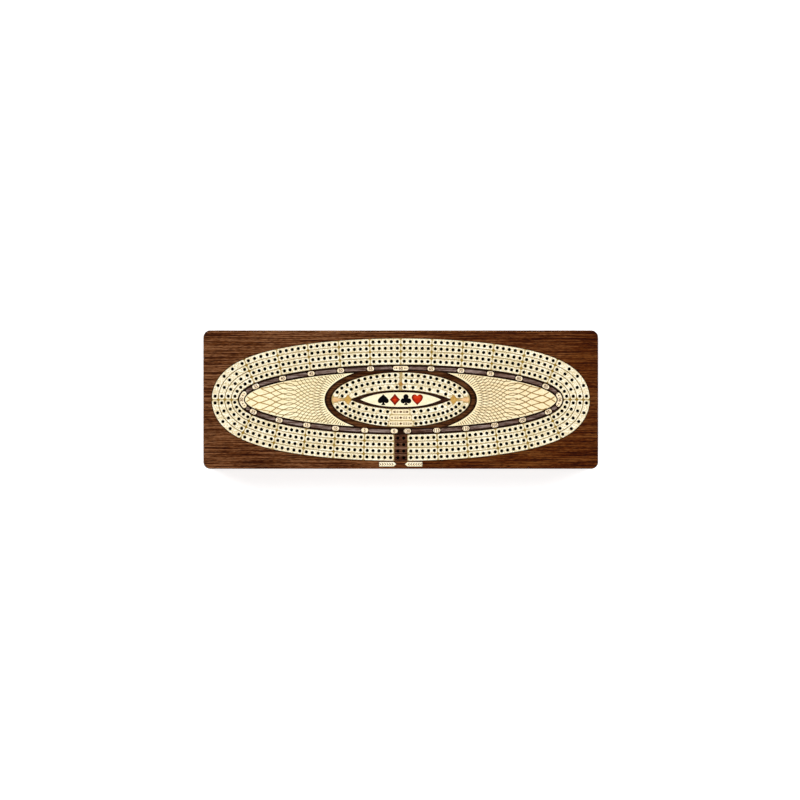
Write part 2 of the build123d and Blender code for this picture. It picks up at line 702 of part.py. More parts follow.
# Pull strip under the right-hand end, with a thumb scoop and two magnets
end_top = groove_z0 - 0.3
mag_r, mag_t, mag_y = 3.0, 2.5, 32.0
mid_end = board_l / 2 - end_t / 2
strip = rect_prism(in_x + 0.2, board_l / 2, -run_in + 0.2, run_in - 0.2, groove_z0, lid_z0)
strip = strip.cut(prism(rounded_rect(board_l / 2, 0, 11.0, 24.0, 4.0), groove_z0 - 1, lid_z0 + 1))
strip = strip.cut(*holes_cut([(mid_end, -mag_y), (mid_end, mag_y)], groove_z0 - 1, groove_z0 + mag_t, mag_r))
many(strip.solids(), "lid_pull_strip")
many([Solid.make_cylinder(mag_r - 0.05, mag_t, Plane(origin=(mid_end, sy * mag_y, groove_z0))) for sy in (-1, 1)], "lid_magnets")

# ---------------------------------------------------------------- box
outline = prism(rounded_rect(0, 0, board_l, board_w, corner_r), foot_h, wall_top)
foot_rim = [ed for ed in outline.edges() if ed.center().Z < foot_h + 0.01]
outline = outline.chamfer(0.8, None, foot_rim)
tongue_t, tongue_d = 4.0, 3.0
lip_z = (3.5, 5.5)               # tongue round the floor
right_tongue_top = 29.4
side = outline.intersect(rect_prism(-200, 200, in_y, 80, 0, 60)).solids()[0]
side = side.cut(
    rect_prism(-in_x, 200, in_y - 1, in_y + groove_d, groove_z0, groove_z1),
    rect_prism(-in_x - tongue_d, in_x + tongue_d, in_y - 1, in_y + tongue_d, lip_z[0] - 0.05, lip_z[1] + 0.05),
    rect_prism(-mid_end - tongue_t / 2 - 0.05, -mid_end + tongue_t / 2 + 0.05, in_y - 1, in_y + tongue_d + 0.05, 0, 60),
    rect_prism(mid_end - tongue_t / 2 - 0.05, mid_end + tongue_t / 2 + 0.05, in_y - 1, in_y + tongue_d + 0.05, 0, right_tongue_top + 0.1),
)
many(side.solids(), "side_wall_back")
many(side.mirror(Plane.XZ).solids(), "side_wall_front")


def end_wall(sx, top, tongue_top):
    x0, x1 = sorted((sx * in_x, sx * board_l / 2))
    w = outline.intersect(rect_prism(x0, x1, -in_y, in_y, 0, top)).solids()[0]
    xm = sx * mid_end
    w = w.fuse(rect_prism(xm - tongue_t / 2, xm + tongue_t / 2, -in_y - tongue_d, in_y + tongue_d, foot_h + 0.8, tongue_top))
    g0, g1 = sorted((sx * (in_x - 1), sx * (in_x + tongue_d)))
    return w.cut(rect_prism(g0, g1, -80, 80, lip_z[0] - 0.05, lip_z[1] + 0.05))


left = end_wall(-1, wall_top, wall_top)
many(left.solids(), "end_wall_left")
right = end_wall(1, end_top, right_tongue_top)
right = right.cut(*holes_cut([(mid_end, -mag_y), (mid_end, mag_y)], end_top - mag_t, end_top + 1, mag_r))
many(right.solids(), "end_wall_right")
many([Solid.make_cylinder(mag_r - 0.05, mag_t, Plane(origin=(mid_end, sy * mag_y, end_top - mag_t))) for sy in (-1, 1)], "wall_magnets")

fl = 0.05
floor = rect_prism(-in_x + fl, in_x - fl, -in_y + fl, in_y - fl, foot_h, floor_top)
floor = floor.fuse(rect_prism(-in_x - tongue_d + 0.1, in_x + tongue_d - 0.1, -in_y - tongue_d + 0.1, in_y + tongue_d - 0.1, *lip_z))
many(floor.solids(), "floor_panel")
pads = [Solid.make_cylinder(7.0, foot_h, Plane(origin=(sx * 162, sy * 46, 0))) for sx in (-1, 1) for sy in (-1, 1)]
pads = [p.chamfer(0.35, None, [ed for ed in p.edges() if ed.center().Z < 0.01]) for p in pads]
many([s for p in pads for s in p.solids()], "corner_pads")

# Dividers with a finger scallop
div_top = 30.0
div_x = (-(well_w + div_t), 0.0, well_w + div_t)
for name, x in zip(("divider_left", "divider_middle", "divider_right"), div_x):
    d = rect_prism(x - div_t / 2, x + div_t / 2, -in_y + fl, in_y - fl, floor_top, div_top)
    tops = [ed for ed in d.edges() if ed.center().Z > div_top - 0.01 and abs(ed.tangent_at(0.5).Y) > 0.9]
    d = d.fillet(1.2, tops)
    d = d.cut(Solid.make_cylinder(20.0, 20, Plane(origin=(x - 10, 0, div_top + 8), z_dir=(1, 0, 0))))
    many(d.solids(), name)

# Felt liners and two decks
deck_x = (-(well_w + div_t) / 2, (well_w + div_t) / 2)
deck_z0 = floor_top + felt_t + 0.05
for name, x in zip(("left", "right"), deck_x):
    many([rect_prism(x - well_w / 2 + 0.2, x + well_w / 2 - 0.2, -in_y + 0.2, in_y - 0.2, floor_top, floor_top + felt_t)], f"felt_liner_{name}")
    many([prism(rounded_rect(x, 0, card_w, card_l, 3.5), deck_z0, deck_z0 + deck_h)], f"card_deck_{name}")

# Peg racks: a block with six stepped grooves and a finger trough across them
rack_top = floor_top + 12.0
peg_z = rack_top - 1.0
peg_len = 30.0
rack_x = (in_x + well_w + 1.5 * div_t) / 2
rack_half = (in_x - well_w - 1.5 * div_t) / 2
peg_ys = [peg_pitch * (k - 2.5) for k in range(6)]
trough_z0 = floor_top + 2.5


def slot(x0, x1, y, r):
    """Round-bottomed groove along X, open upwards."""
    c = Solid.make_cylinder(r, x1 - x0, Plane(origin=(x0, y, peg_z), z_dir=(1, 0, 0)))
    return [c, rect_prism(x0, x1, y - r, y + r, peg_z, rack_top + 5)]


for name, sx in (("left", -1), ("right", 1)):
    cx = sx * rack_x
    rk = rect_prism(cx - rack_half + 0.2, cx + rack_half - 0.2, -in_y + 0.2, in_y - 0.2, floor_top, rack_top)
    cuts = []
    for y in peg_ys:
        a, b = sorted((cx + sx * 6.0, cx + sx * 15.4))
        cuts += slot(a, b, y, 2.8)
        a, b = sorted((cx - sx * 15.4, cx - sx * 8.5))
        cuts += slot(a, b, y, 1.5)
    a, b = sorted((cx + sx * 6.6, cx - sx * 9.0))
    cuts.append(rect_prism(a, b, -80, 80, trough_z0, rack_top + 5))
    rk = rk.cut(*cuts)
    many(rk.solids(), f"peg_rack_{name}")

# Pegs: ball head, collar, tapered shank
profile = Wire([
    arc3((0.0, 0.0), (0.732, 1.768), (2.5, 2.5)),
    arc3((2.5, 2.5), (4.1, 1.92), (4.9, 1.2)),
    seg((4.9, 1.2), (6.2, 1.2)),
    seg((6.2, 1.2), (6.6, 1.9)),
    seg((6.6, 1.9), (7.4, 1.9)),
    seg((7.4, 1.9), (7.8, 1.5)),
    seg((7.8, 1.5), (29.5, 1.1)),
    seg((29.5, 1.1), (30.0, 0.6)),
    seg((30.0, 0.6), (30.0, 0.0)),
    seg((30.0, 0.0), (0.0, 0.0)),
])
peg = Solid.revolve(Face(profile), 360, Axis.X)
peg_names = [("left", ("gold", "gold", "gold", "silver", "silver", "silver")), ("right", ("black", "black", "black", "copper", "copper", "copper"))]
for side_name, tones in peg_names:
    sx = -1 if side_name == "left" else 1
    for k, tone in enumerate(tones):
        # the head lies outwards
        loc = Location((sx * (rack_x + peg_len / 2), peg_ys[k], peg_z), (0, 0, 180 if sx > 0 else 0))
        many([peg.moved(loc)], f"peg_{tone}_{k % 3 + 1}")

print("done")
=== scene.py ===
"""Cribbage board box: finish, engraved line work, numbers, decks of cards, light and camera."""

import bisect
import math
import random

import bmesh
import bpy
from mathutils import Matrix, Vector
from mathutils.geometry import tessellate_polygon


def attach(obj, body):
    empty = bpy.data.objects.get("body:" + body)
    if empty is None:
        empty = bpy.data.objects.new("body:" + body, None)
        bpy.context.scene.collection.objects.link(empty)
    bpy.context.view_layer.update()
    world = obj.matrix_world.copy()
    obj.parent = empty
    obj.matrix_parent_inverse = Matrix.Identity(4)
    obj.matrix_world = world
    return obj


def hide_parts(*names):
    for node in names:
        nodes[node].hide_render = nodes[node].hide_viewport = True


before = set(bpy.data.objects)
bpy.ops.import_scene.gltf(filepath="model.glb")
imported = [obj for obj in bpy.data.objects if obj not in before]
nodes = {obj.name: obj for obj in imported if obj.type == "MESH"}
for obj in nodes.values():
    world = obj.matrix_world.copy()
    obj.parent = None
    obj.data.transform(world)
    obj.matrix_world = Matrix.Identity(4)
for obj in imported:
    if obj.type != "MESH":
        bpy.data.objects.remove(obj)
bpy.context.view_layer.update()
rng = random.Random(7)
MM = 0.001

# ------------------------------------------------------------------ sizes, mm
TOP = 50.0
INLAY = 49.95
base_a, base_b = 147.6, 28.43
lane_1, lane_pitch = 7.39, 6.08
band_mid, band_in = 0.84, -2.33
ring_a, ring_b = 71.1, 31.4
lane_count, cross_w, cell_r, line_w = 4, 0.95, 1.65, 0.72
# block boundaries as parameters of the base ellipse, from its end to its middle, above and below
block_at = {
    1: (0.0, 0.4185, 0.7296, 0.9699, 1.1819, 1.379, math.pi / 2),
    -1: (0.0, 0.3789, 0.6958, 0.9362, 1.1472, 1.3417, 1.5292),
}


# ------------------------------------------------------------------ node helpers
def srgb(r, g, b):
    def f(c):
        c /= 255.0
        return c / 12.92 if c <= 0.04045 else ((c + 0.055) / 1.055) ** 2.4

    return (f(r), f(g), f(b), 1.0)


class Mat:
    """Short way to wire a material's nodes."""

    def __init__(self, name):
        self.m = bpy.data.materials.new(name)
        self.m.use_nodes = True
        self.t = self.m.node_tree
        self.bsdf = self.t.nodes["Principled BSDF"]
        self.coord = self.t.nodes.new("ShaderNodeTexCoord").outputs["Object"]

    def node(self, kind, **values):
        n = self.t.nodes.new(kind)
        for k, v in values.items():
            setattr(n, k, v)
        return n

    def link(self, a, b):
        self.t.links.new(a, b)

    def scaled(self, x, y, z, off=(0, 0, 0)):
        n = self.node("ShaderNodeMapping")
        n.inputs["Scale"].default_value = (x, y, z)
        n.inputs["Location"].default_value = off
        self.link(self.coord, n.inputs["Vector"])
        return n.outputs[0]

    def noise(self, vec, scale=1.0, detail=2.0, rough=0.5, dist=0.0):
        n = self.node("ShaderNodeTexNoise")
        n.inputs["Scale"].default_value = scale
        n.inputs["Detail"].default_value = detail
        n.inputs["Roughness"].default_value = rough
        n.inputs["Distortion"].default_value = dist
        self.link(vec, n.inputs["Vector"])
        return n.outputs["Fac"]

    def voronoi(self, vec, scale=1.0, feature="F1", out="Distance"):
        n = self.node("ShaderNodeTexVoronoi", feature=feature)
        n.inputs["Scale"].default_value = scale
        self.link(vec, n.inputs["Vector"])
        return n.outputs[out]

    def wave(self, vec, scale, dist=0.0, detail=2.0, direction="Y"):
        n = self.node("ShaderNodeTexWave", bands_direction=direction)
        n.inputs["Scale"].default_value = scale
        n.inputs["Distortion"].default_value = dist
        n.inputs["Detail"].default_value = detail
        self.link(vec, n.inputs["Vector"])
        return n.outputs["Fac"]

    def math(self, op, a, b=None, clamp=False):
        n = self.node("ShaderNodeMath", operation=op, use_clamp=clamp)
        for i, v in enumerate((a, b)):
            if v is None:
                continue
            if isinstance(v, (int, float)):
                n.inputs[i].default_value = v
            else:
                self.link(v, n.inputs[i])
        return n.outputs[0]

    def ramp(self, fac, stops, interp="LINEAR"):
        n = self.node("ShaderNodeValToRGB")
        n.color_ramp.interpolation = interp
        el = n.color_ramp.elements
        while len(el) > 1:
            el.remove(el[-1])
        el[0].position, el[0].color = stops[0]
        for p, c in stops[1:]:
            e = el.new(p)
            e.color = c
        self.link(fac, n.inputs["Fac"])
        return n.outputs["Color"]

    def framp(self, fac, stops):
        return self.ramp(fac, [(p, (v, v, v, 1)) for p, v in stops])

    def mix(self, fac, a, b, mode="MIX"):
        n = self.node("ShaderNodeMix", data_type="RGBA", blend_type=mode)
        for key, v in (("Factor", fac), ("A", a), ("B", b)):
            sock = [s for s in n.inputs if s.name == key and s.enabled][0]
            if isinstance(v, (int, float)):
                sock.default_value = v
            elif isinstance(v, tuple):
                sock.default_value = v
            else:
                self.link(v, sock)
        return [s for s in n.outputs if s.enabled][0]

    def xyz(self):
        n = self.node("ShaderNodeSeparateXYZ")
        self.link(self.coord, n.inputs[0])
        return n.outputs

    def normal_z(self):
        g = self.node("ShaderNodeNewGeometry")
        n = self.node("ShaderNodeSeparateXYZ")
        self.link(g.outputs["True Normal"], n.inputs[0])
        return n.outputs["Z"]

    def color(self, c):
        if isinstance(c, tuple):
            self.bsdf.inputs["Base Color"].default_value = c
        else:
            self.link(c, self.bsdf.inputs["Base Color"])

    def rough(self, r):
        if isinstance(r, (int, float)):
            self.bsdf.inputs["Roughness"].default_value = r
        else:
            self.link(r, self.bsdf.inputs["Roughness"])

    def set(self, **kw):
        for k, v in kw.items():
            self.bsdf.inputs[k.replace("_", " ")].default_value = v

    def bump(self, height, strength, distance):
        n = self.node("ShaderNodeBump")
        n.inputs["Strength"].default_value = strength
        n.inputs["Distance"].default_value = distance
        self.link(height, n.inputs["Height"])
        self.link(n.outputs[0], self.bsdf.inputs["Normal"])


def streaked_wood(name, tones, axis="X", seed=0.0, rough=(0.38, 0.46), second=None, scorch_and_shade=False, width=1.0, ring=None, spread=0.095, patch=None):
    """Open-pored dark hardwood: close lengthwise streaks under a millimetre wide, slow tone bands and short dark pores.

    tones is (pore, dark, mid, light). second is a like set that the wood drifts into along its length.
    The scorching flag darkens the walls and floors of holes and grooves cut into the board's top to near black: partly
    scorching, partly painted shade."""
    m = Mat(name)

    def v(along, across, off=0.0):
        s = {"X": (along, across, across), "Y": (across, along, across), "Z": (across, across, along)}[axis]
        return m.scaled(*s, off=(seed + off, seed * 0.7 - off, seed * 1.3 + off))

    slow = m.noise(v(6, 55 / width), 1.0, 2.0, 0.5, 0.3)
    streak = m.noise(v(20, 1080 / width, 3.1), 1.0, 1.0, 0.5, 0.2)
    band = m.noise(v(12, 330 / width, 5.5), 1.0, 1.0, 0.5, 0.15)
    fine = m.noise(v(240, 1700 / width, 7.7), 1.0, 2.0, 0.6, 0.3)
    tone = m.math("ADD", m.math("MULTIPLY", streak, 0.50), m.math("MULTIPLY", band, 0.14))
    tone = m.math("ADD", tone, m.math("ADD", m.math("MULTIPLY", slow, 0.06), m.math("MULTIPLY", fine, 0.30)))
    pore, dark, mid, light = tones
    lo, hi = 0.5 - spread, 0.5 + spread
    col = m.ramp(tone, [(lo, dark), (0.497, mid), (hi, light)])
    if second:
        pore2, dark2, mid2, light2 = second
        col2 = m.ramp(tone, [(lo, dark2), (0.497, mid2), (hi, light2)])
        x = m.xyz()["X"]
        drift = m.noise(m.scaled(5, 13, 5, off=(seed, 1.7, 0)), 1.0, 2.0, 0.5, 0.4)
        d = m.math("ADD", m.math("MULTIPLY", x, 2.1), m.math("MULTIPLY", drift, 1.5))
        d = m.math("SUBTRACT", d, m.math("MULTIPLY", m.xyz()["Y"], 1.6))
        col = m.mix(m.framp(d, [(0.45, 0.0), (1.0, 1.0)]), col, col2)
    if patch:
        # pieces cut from differently coloured stock
        col3 = m.ramp(tone, [(lo, patch[1]), (0.497, patch[2]), (hi, patch[3])])
        where = m.noise(m.scaled(46, 46, 46, off=(seed, 2.2, 0.6)), 1.0, 1.0, 0.5)
        col = m.mix(m.framp(where, [(0.50, 0.0), (0.62, 1.0)]), col, col3)
    pores = m.noise(v(170, 2600 / width, 1.3), 1.0, 1.0, 0.4)
    pf = m.framp(pores, [(0.34, 1.0), (0.42, 0.0)])
    col = m.mix(m.math("MULTIPLY", pf, 0.75), col, pore)
    if ring:
        # the ring round the score oval: wood as on the board, with painted shade darkening its two edges; the rest is
        # darker
        x, y, z = m.xyz()
        inner, outer, dark_rest_and_edge_shade_tones = ring
        e0 = m.math("ADD", m.math("POWER", m.math("DIVIDE", x, inner[0] * MM), 2.0), m.math("POWER", m.math("DIVIDE", y, inner[1] * MM), 2.0))
        e1 = m.math("ADD", m.math("POWER", m.math("DIVIDE", x, outer[0] * MM), 2.0), m.math("POWER", m.math("DIVIDE", y, outer[1] * MM), 2.0))
        ay = m.math("ABSOLUTE", y)
        keep = m.math("MULTIPLY", m.framp(m.math("MULTIPLY", e0, 0.5), [(0.515, 0.0), (0.535, 1.0)]), m.framp(m.math("MULTIPLY", e1, 0.5), [(0.462, 1.0), (0.482, 0.0)]))
        keep = m.math("MULTIPLY", keep, m.math("LESS_THAN", ay, 0.0262))
        dark_rest_and_edge_shade = m.ramp(tone, [(0.40, dark_rest_and_edge_shade_tones[0]), (0.6, dark_rest_and_edge_shade_tones[1])])
        col = m.mix(keep, dark_rest_and_edge_shade, col)
    if scorch_and_shade:
        # painted shade with scorching: holes and grooves below the board's top, in the middle area, are coloured near
        # black
        x, y, z = m.xyz()
        a = m.math("MULTIPLY", m.math("LESS_THAN", m.math("ABSOLUTE", x), 0.182), m.math("LESS_THAN", m.math("ABSOLUTE", y), 0.0628))
        b = m.math("MULTIPLY", m.math("LESS_THAN", z, 0.04997), m.math("GREATER_THAN", z, 0.0385))
        deep = m.ramp(streak, [(0.35, srgb(14, 6, 3)), (0.65, srgb(26, 12, 6))])
        col = m.mix(m.math("MULTIPLY", a, b), col, deep)
    m.color(col)
    m.rough(m.framp(tone, [(0.40, rough[1]), (0.60, rough[0])]))
    m.set(Coat_Weight=0.0, Specular_IOR_Level=0.05)
    h = m.math("SUBTRACT", m.math("MULTIPLY", streak, 0.5), m.math("MULTIPLY", pf, 0.8))
    m.bump(h, 0.3, 0.00010)
    return m.m


def pale_wood(name, c0, c1, fleck, seed=0.0, relief=None, hole_scorch_and_shade=None, rough=0.5, amount=1.0, axis="X", deep=None, column=None, mottle=0.32):
    """Maple: close, even grain with faint lines and small flecks. relief is a height in metres under which the surface is burnt to the second colour."""
    m = Mat(name)
    deep = deep or tuple(a * 0.82 + b * 0.18 for a, b in zip(c1, fleck))
    k = {"X": (14, 330), "Y": (330, 14)}[axis]
    vec = m.scaled(k[0], k[1], 330, off=(seed, seed * 2.1, 0.4))
    g1 = m.noise(vec, 1.0, 3.0, 0.6, 0.3)
    vec2 = m.scaled(k[0] * 3 if axis == "X" else 1500, 1500 if axis == "X" else k[1] * 0.13, 1500, off=(seed * 1.7, 0.3, seed))
    g2 = m.noise(vec2, 1.0, 2.0, 0.5)
    cloud = m.noise(m.scaled(45, 45, 45, off=(seed, seed, seed)), 1.0, 2.0, 0.5)
    spots = m.noise(m.scaled(820, 820, 820, off=(0.3, seed, seed * 1.3)), 1.0, 1.0, 0.5)
    tone = m.math("ADD", m.math("MULTIPLY", g1, 0.66 - mottle), m.math("ADD", m.math("MULTIPLY", g2, 0.2), m.math("MULTIPLY", cloud, 0.05)))
    tone = m.math("ADD", tone, m.math("MULTIPLY", spots, mottle + 0.09))
    col = m.ramp(tone, [(0.395, deep), (0.49, c1), (0.575, c0)])
    fl = m.framp(g2, [(0.64, 0.0), (0.74, 0.5 * amount)])
    col = m.mix(fl, col, fleck)
    if column:
        # the upright in the middle is duller than the diamonds, with a darker knot between the second and third rows
        x, y, z = m.xyz()
        near = m.math("LESS_THAN", m.math("ABSOLUTE", x), 0.0035)
        knot = m.math("LESS_THAN", m.math("ABSOLUTE", m.math("SUBTRACT", y, 0.0146)), 0.0017)
        col = m.mix(near, col, m.ramp(tone, [(0.40, column[1]), (0.56, column[0])]))
        col = m.mix(m.math("MULTIPLY", near, knot), col, m.ramp(tone, [(0.40, column[3]), (0.56, column[2])]))
    z = m.xyz()["Z"]
    if relief:
        height, burnt, burnt2 = relief[:3]
        low = m.math("LESS_THAN", z, height)
        shade = m.noise(m.scaled(900, 900, 900), 1.0, 2.0, 0.6)
        scorched = m.ramp(shade, [(0.35, burnt), (0.65, burnt2)])
        if len(relief) > 3:
            # round the two ends the lines are burnt darker
            ax = m.math("ABSOLUTE", m.xyz()["X"])
            scorched = m.mix(m.framp(m.math("MULTIPLY", ax, 5.0), [(0.66, 0.0), (0.70, 1.0)]), scorched, m.ramp(shade, [(0.35, relief[3]), (0.65, relief[4])]))
        col = m.mix(low, col, scorched)
    if hole_scorch_and_shade:
        # walls of drilled holes, scorched and in shadow: painted shade colours every steep face near black
        nz = m.math("ABSOLUTE", m.normal_z())
        wall = m.math("LESS_THAN", nz, 0.5)
        col = m.mix(wall, col, hole_scorch_and_shade)
    m.color(col)
    m.rough(m.framp(tone, [(0.3, rough + 0.08), (0.7, rough - 0.04)]))
    m.set(Coat_Weight=0.0, Specular_IOR_Level=0.22)
    m.bump(g1, 0.12, 0.00006)
    return m.m


# ------------------------------------------------------------------ materials
WENGE = (srgb(26, 4, 0), srgb(38, 6, 0), srgb(86, 45, 16), srgb(134, 91, 60))
WENGE2 = (srgb(20, 0, 0), srgb(34, 2, 0), srgb(76, 31, 3), srgb(112, 66, 28))
wenge_board = streaked_wood("board_wenge", WENGE, "X", 0.0, second=WENGE2, scorch_and_shade=True)
wenge_walls = streaked_wood("wall_wenge", WENGE, "X", 5.2, second=WENGE2)
wenge_ends = streaked_wood("end_wenge", WENGE, "Y", 9.4)
DARKS = (srgb(22, 4, 0), srgb(50, 18, 8), srgb(90, 58, 38), srgb(122, 90, 70))
start_mat = streaked_wood("start_block_wood", DARKS, "X", 3.0, width=1.6)
dark_frame = streaked_wood("eye_frame_wood", (srgb(12, 2, 0), srgb(18, 4, 0), srgb(38, 17, 8), srgb(64, 38, 24)), "X", 4.4)
RINGWOOD = (srgb(24, 4, 0), srgb(36, 8, 0), srgb(66, 34, 10), srgb(96, 60, 34))
panel_wood = streaked_wood(
    "centre_panel_wood", RINGWOOD, "X", 7.3, width=1.4,
    # the last pair colours the ring's two edges with painted shade and the rest of the panel darker
    ring=((64.6, 25.5), (71.1, 31.4), (srgb(14, 4, 0), srgb(40, 20, 10))),
)
STRIP3 = (srgb(40, 20, 14), srgb(56, 32, 24), srgb(94, 66, 54), srgb(128, 104, 92))
STRIP = (srgb(50, 34, 28), srgb(68, 46, 38), srgb(116, 96, 86), srgb(162, 146, 138))
STRIP2 = (srgb(46, 28, 22), srgb(62, 38, 32), srgb(112, 90, 80), srgb(154, 134, 126))
grey_purple = streaked_wood("band_strip_wood", STRIP, "X", 6.1, second=STRIP2, patch=STRIP3)
CREAM, CREAM2, FLECK = srgb(255, 249, 227), srgb(231, 215, 177), srgb(212, 182, 122)
CREAM3 = srgb(202, 183, 134)
BURN, BURN2 = srgb(178, 150, 92), srgb(160, 132, 74)
BURN_END, BURN_END2 = srgb(138, 110, 46), srgb(122, 94, 34)
# near black for hole walls: painted shade over their scorching
HOLE_SCORCH_AND_SHADE = srgb(5, 3, 2)
track_mat = pale_wood("track_maple", CREAM, CREAM2, FLECK, 0.0, relief=(0.04985, BURN, BURN2, BURN_END, BURN_END2), hole_scorch_and_shade=HOLE_SCORCH_AND_SHADE, deep=CREAM3, mottle=0.42)
oval_mat = pale_wood("oval_maple", CREAM, CREAM2, FLECK, 2.0, relief=(0.04985, srgb(196, 170, 112), srgb(168, 140, 82)), hole_scorch_and_shade=HOLE_SCORCH_AND_SHADE, deep=CREAM3, mottle=0.42)
panel_mat = pale_wood("panel_maple", srgb(254, 245, 208), srgb(247, 229, 184), FLECK, 4.0)
panel_right = pale_wood("panel_maple_right", srgb(252, 239, 200), srgb(244, 222, 176), FLECK, 4.6)
eye_mat = pale_wood("eye_maple", srgb(251, 243, 210), srgb(246, 232, 194), FLECK, 6.0)
marker_mat = pale_wood("marker_maple", srgb(254, 238, 212), srgb(248, 226, 186), FLECK, 8.0)
plate_mat = pale_wood("plate_maple", srgb(255, 246, 218), srgb(248, 232, 192), FLECK, 9.0)
plaque_mat = pale_wood("plaque_maple", srgb(251, 238, 204), srgb(242, 224, 182), FLECK, 10.0)
gold_mat = pale_wood("golden_wood", srgb(206, 166, 88), srgb(186, 142, 66), srgb(150, 108, 46), 11.0,
    column=(srgb(186, 162, 110), srgb(160, 134, 82), srgb(176, 130, 58), srgb(148, 100, 38)))
tan_mat = pale_wood("tan_wood", srgb(232, 192, 140), srgb(216, 168, 110), srgb(180, 128, 74), 12.0)
insert_mat = pale_wood("insert_maple", srgb(226, 196, 148), srgb(206, 168, 114), srgb(176, 134, 84), 13.0, mottle=0.06)
floor_mat = pale_wood("floor_birch", srgb(222, 194, 150), srgb(200, 166, 118), srgb(170, 132, 88), 14.0, mottle=0.06)
runner_mat = pale_wood("runner_maple", srgb(224, 190, 140), srgb(204, 164, 110), srgb(170, 130, 80), 15.0, mottle=0.06)


def stained(name, base, lit, seed, rims=None):
    """Stained close-grained wood for the card suits. rims are (centre x, half width, half height, power, dark) of a suit whose edge is scorched."""
    m = Mat(name)
    g = m.noise(m.scaled(40, 700, 700, off=(seed, seed, 0)), 1.0, 3.0, 0.6)
    col = m.ramp(g, [(0.35, base), (0.65, lit)])
    for cx, cy, hw, hh, power, dark in rims or ():
        x, y, z = m.xyz()
        u = m.math("ABSOLUTE", m.math("DIVIDE", m.math("SUBTRACT", x, cx * MM), hw * MM))
        w = m.math("ABSOLUTE", m.math("DIVIDE", m.math("SUBTRACT", y, cy * MM), hh * MM))
        d = m.math("ADD", m.math("POWER", u, power), m.math("POWER", w, power))
        here = m.math("LESS_THAN", u, 1.05)
        rim = m.framp(m.math("MULTIPLY", d, 0.5), [(0.08, 0.0), (0.24, 0.5), (0.42, 0.95)])
        col = m.mix(m.math("MULTIPLY", here, rim), col, dark)
    m.color(col)
    m.rough(m.framp(g, [(0.3, 0.5), (0.7, 0.38)]))
    m.set(Coat_Weight=0.0, Specular_IOR_Level=0.2)
    m.bump(g, 0.12, 0.00005)
    return m.m


def burnt_lines(name, seed, near, middle, tip):
    """Burnt lines that are darkest close to the oval and warmer towards the tip of the panel."""
    m = Mat(name)
    g = m.noise(m.scaled(300, 300, 300, off=(seed, seed, 0)), 1.0, 2.0, 0.6)
    x, y, z = m.xyz()
    dx = m.math("SUBTRACT", m.math("ABSOLUTE", x), 44.3 * MM)
    r = m.math("SQRT", m.math("ADD", m.math("POWER", dx, 2.0), m.math("POWER", y, 2.0)))
    col = m.ramp(m.math("MULTIPLY", r, 8.0), [(0.26, near), (0.34, middle), (0.50, middle), (0.68, tip)])
    pale = m.mix(0.5, col, srgb(214, 184, 128))
    m.color(m.mix(m.framp(g, [(0.40, 0.0), (0.70, 0.6)]), col, pale))
    m.rough(m.framp(g, [(0.3, 0.5), (0.7, 0.4)]))
    m.set(Coat_Weight=0.0, Specular_IOR_Level=0.15)
    return m.m


black_mat = stained("black_stain", srgb(1, 1, 2), srgb(5, 5, 7), 1.0)
RIM = srgb(86, 6, 0)
red_mat = stained("red_stain", srgb(184, 30, 6), srgb(212, 62, 22), 2.0, rims=((-5.5, 0.0, 5.0, 5.7, 1.0, RIM), (15.4, 1.2, 5.3, 5.6, 2.0, RIM)))
line_left = burnt_lines("engraved_line_left", 3.0, srgb(106, 84, 34), srgb(132, 110, 60), srgb(162, 124, 62))
line_right = burnt_lines("engraved_line_right", 3.7, srgb(94, 68, 24), srgb(112, 84, 36), srgb(142, 104, 46))
olive_mat = stained("burnt_block_line", srgb(176, 156, 104), srgb(198, 178, 128), 5.0)
crossing_mat = stained("burnt_crossing", srgb(132, 104, 36), srgb(150, 122, 52), 6.0)
ink_mat = stained("burnt_figure", srgb(80, 44, 20), srgb(106, 68, 38), 4.0)
for m_ in (ink_mat, olive_mat, crossing_mat):
    m_.node_tree.nodes["Principled BSDF"].inputs["Specular IOR Level"].default_value = 0.15
for m_ in (black_mat, red_mat):
    m_.node_tree.nodes["Principled BSDF"].inputs["Specular IOR Level"].default_value = 0.05


def metal(name, c, c2, rough, seed, scale=2500):
    m = Mat(name)
    n = m.noise(m.scaled(scale, scale * 0.12, scale * 0.12, off=(seed, 0, 0)), 1.0, 3.0, 0.6)
    s = m.noise(m.scaled(180, 180, 180, off=(0, seed, 0)), 1.0, 3.0, 0.6)
    m.color(m.ramp(s, [(0.3, c), (0.7, c2)]))
    m.rough(m.framp(n, [(0.3, rough), (0.7, rough + 0.12)]))
    m.set(Metallic=1.0)
    m.bump(n, 0.06, 0.00003)
    return m.m


brass = metal("brass_screw", srgb(206, 168, 92), srgb(188, 146, 74), 0.28, 1.0)
nickel = metal("nickel_magnet", srgb(196, 196, 198), srgb(176, 177, 180), 0.25, 2.0)
peg_mats = {
    "gold": metal("peg_gold_plate", srgb(226, 180, 84), srgb(208, 156, 62), 0.18, 3.0),
    "silver": metal("peg_silver_plate", srgb(214, 215, 218), srgb(190, 192, 196), 0.18, 4.0),
    "copper": metal("peg_copper_plate", srgb(206, 122, 84), srgb(184, 98, 62), 0.2, 5.0),
    "black": metal("peg_black_plate", srgb(44, 45, 49), srgb(30, 31, 34), 0.24, 6.0),
}


def rubber():
    m = Mat("pad_rubber")
    n = m.noise(m.scaled(1400, 1400, 1400), 1.0, 3.0, 0.6)
    m.color(m.ramp(n, [(0.3, srgb(26, 26, 27)), (0.7, srgb(42, 42, 43))]))
    m.rough(m.framp(n, [(0.3, 0.75), (0.7, 0.9)]))
    m.bump(n, 0.3, 0.0001)
    return m.m


